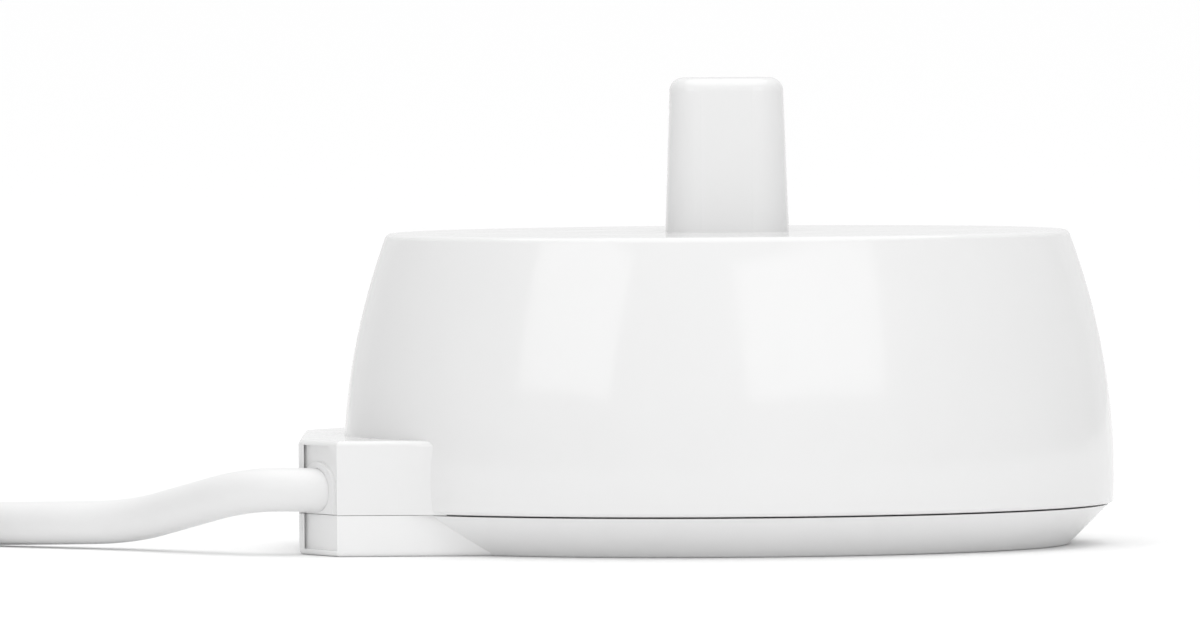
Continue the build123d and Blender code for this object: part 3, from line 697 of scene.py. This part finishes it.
def strap_section(place, out, half_width, half_thick, centre):
    """Thin rounded cross-section of a strap at one place of its loop; its width lies along Y."""
    ring = []
    for i in range(STRAP_ROUND_POINTS):
        angle = FULL_TURN * i / STRAP_ROUND_POINTS
        across = half_width * squared(cos(angle), STRAP_ACROSS_POWER)
        rise = half_thick * squared(sin(angle), STRAP_RISE_POWER)
        x = centre.x + place[0] + out[0] * rise
        z = centre.z + place[1] + out[1] * rise
        ring.append((x, centre.y + across, z))
    return ring


def coil_tie():
    """Woven strap closed round the turns, with its end lapped over the top."""
    low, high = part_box("cord_tie")
    centre = (low + high) / 2
    half_x = (high.x - low.x) / 2 - STRAP_HALF_THICK
    half_z = (high.z - low.z) / 2 - STRAP_HALF_THICK
    half_width = (high.y - low.y) / 2
    loop = strap_loop(half_x, half_z, STRAP_CORNER, STRAP_CORNER_STEPS)
    rings = [strap_section(place, out, half_width, STRAP_HALF_THICK, centre) for place, out in loop]
    band = skin("coil_tie", rings, strap_grey, True)
    lap = []
    for i in range(LAP_STEPS + 1):
        share = i / LAP_STEPS
        x = half_x * (LAP_START - LAP_REACH * share)
        lift = LAP_LIFT + LAP_TIP_LIFT * smooth_step((share - LAP_TIP_FROM) / LAP_TIP_SHARE)
        z = half_z + lift
        thinning = LAP_THINNING * smooth_step((LAP_THIN_SHARE - share) / LAP_THIN_SHARE)
        half_thick = STRAP_HALF_THICK * (1 - thinning)
        lap.append(strap_section((x, z), (0.0, 1.0), half_width * LAP_WIDTH, half_thick, centre))
    flap = skin("tie_flap", lap, strap_grey, False)
    return band, flap


shell = plug_shell()
boot = plug_boot()
tie_band, tie_flap = coil_tie()
for piece, slot_name in (
    (shell, "plug_vinyl"),
    (boot, "plug_vinyl"),
    (tie_band, "tie_vinyl"),
    (tie_flap, "tie_vinyl"),
):
    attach(piece, BODY)
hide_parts("plug_body")
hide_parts("plug_strain_relief")
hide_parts("cord_tie")

# ---------------------------------------------------------------- floor

FLOOR_SIZE = 60.0

floor_material, _, floor_shader = new_material("floor_white")
floor_shader.inputs["Base Color"].default_value = (*grey(0.92), 1)
floor_shader.inputs["Roughness"].default_value = 0.9
floor_shader.inputs["Specular IOR Level"].default_value = 0.0
bpy.ops.mesh.primitive_plane_add(size=FLOOR_SIZE, location=(0, 0, 0))
floor = bpy.context.object
floor.name = "floor"
floor.data.materials.append(floor_material)

# ---------------------------------------------------------------- light

SOFTBOX_ELEVATION = 24.5
SOFTBOX_DISTANCE = 1.3
SOFTBOX_HEIGHT = 0.56
SOFTBOX_POWER = 1.3
RIGHT_SOFTBOX_SHARE = 1.15
AIM_HEIGHT = 0.015
OVERHEAD_STRENGTH = 1.2
OVERHEAD_SPREAD = 70.0

# Brightness of the room from the left (0) to the right (1)
STUDIO_LEVELS = [(0.0, 0.34), (0.2, 0.58), (0.38, 0.79), (0.75, 0.79), (0.9, 0.55), (1.0, 0.40)]

# Brightness of the backdrop beyond the object; it blends in as a direction's Y goes from FROM to TO
BACKDROP_LEVEL = 0.84
BACKDROP_FROM = 0.6
BACKDROP_TO = 0.97


def softbox(name, azimuth, width, power):
    """Rectangular light that faces the object; azimuth 0 is the camera's side, positive to its right."""
    data = bpy.data.lights.new(name, "AREA")
    data.shape = "RECTANGLE"
    data.size = width
    data.size_y = SOFTBOX_HEIGHT
    data.energy = power
    light = bpy.data.objects.new(name, data)
    turn = radians(azimuth)
    rise = radians(SOFTBOX_ELEVATION)
    place = Vector((sin(turn) * cos(rise), -cos(turn) * cos(rise), sin(rise))) * SOFTBOX_DISTANCE
    light.location = place + Vector((0, 0, AIM_HEIGHT))
    light.rotation_euler = place.to_track_quat("Z", "Y").to_euler()
    bpy.context.scene.collection.objects.link(light)


softbox("softbox_left", -42, 0.60, SOFTBOX_POWER)
softbox("softbox_right", 22, 0.80, SOFTBOX_POWER * RIGHT_SOFTBOX_SHARE)

sun_data = bpy.data.lights.new("overhead", "SUN")
sun_data.energy = OVERHEAD_STRENGTH
sun_data.angle = radians(OVERHEAD_SPREAD)
sun = bpy.data.objects.new("overhead", sun_data)
bpy.context.scene.collection.objects.link(sun)

# ---------------------------------------------------------------- room

world = bpy.data.worlds.new("studio")
bpy.context.scene.world = world
world.use_nodes = True
world_tree = world.node_tree
background = world_tree.nodes["Background"]
direction = world_tree.nodes.new("ShaderNodeTexCoord")
direction_parts = world_tree.nodes.new("ShaderNodeSeparateXYZ")
across = world_tree.nodes.new("ShaderNodeMapRange")
across.inputs["From Min"].default_value = -1.0
across.inputs["From Max"].default_value = 1.0
ramp = world_tree.nodes.new("ShaderNodeValToRGB")
ramp.color_ramp.interpolation = "EASE"
stops = ramp.color_ramp.elements
for place, level in STUDIO_LEVELS[1:-1]:
    stops.new(place)
for stop, (place, level) in zip(stops, STUDIO_LEVELS):
    stop.position = place
    stop.color = (*grey(level), 1)
behind = world_tree.nodes.new("ShaderNodeMapRange")
behind.interpolation_type = "SMOOTHSTEP"
behind.inputs["From Min"].default_value = BACKDROP_FROM
behind.inputs["From Max"].default_value = BACKDROP_TO
blend = world_tree.nodes.new("ShaderNodeMix")
blend.data_type = "RGBA"
blend.inputs["B"].default_value = (*grey(BACKDROP_LEVEL), 1)
world_tree.links.new(direction.outputs["Generated"], direction_parts.inputs["Vector"])
world_tree.links.new(direction_parts.outputs["X"], across.inputs["Value"])
world_tree.links.new(direction_parts.outputs["Y"], behind.inputs["Value"])
world_tree.links.new(across.outputs["Result"], ramp.inputs["Fac"])
world_tree.links.new(ramp.outputs["Color"], blend.inputs["A"])
world_tree.links.new(behind.outputs["Result"], blend.inputs["Factor"])
world_tree.links.new(blend.outputs["Result"], background.inputs["Color"])
background.inputs["Strength"].default_value = 1.0

bpy.context.scene.view_settings.view_transform = "Standard"
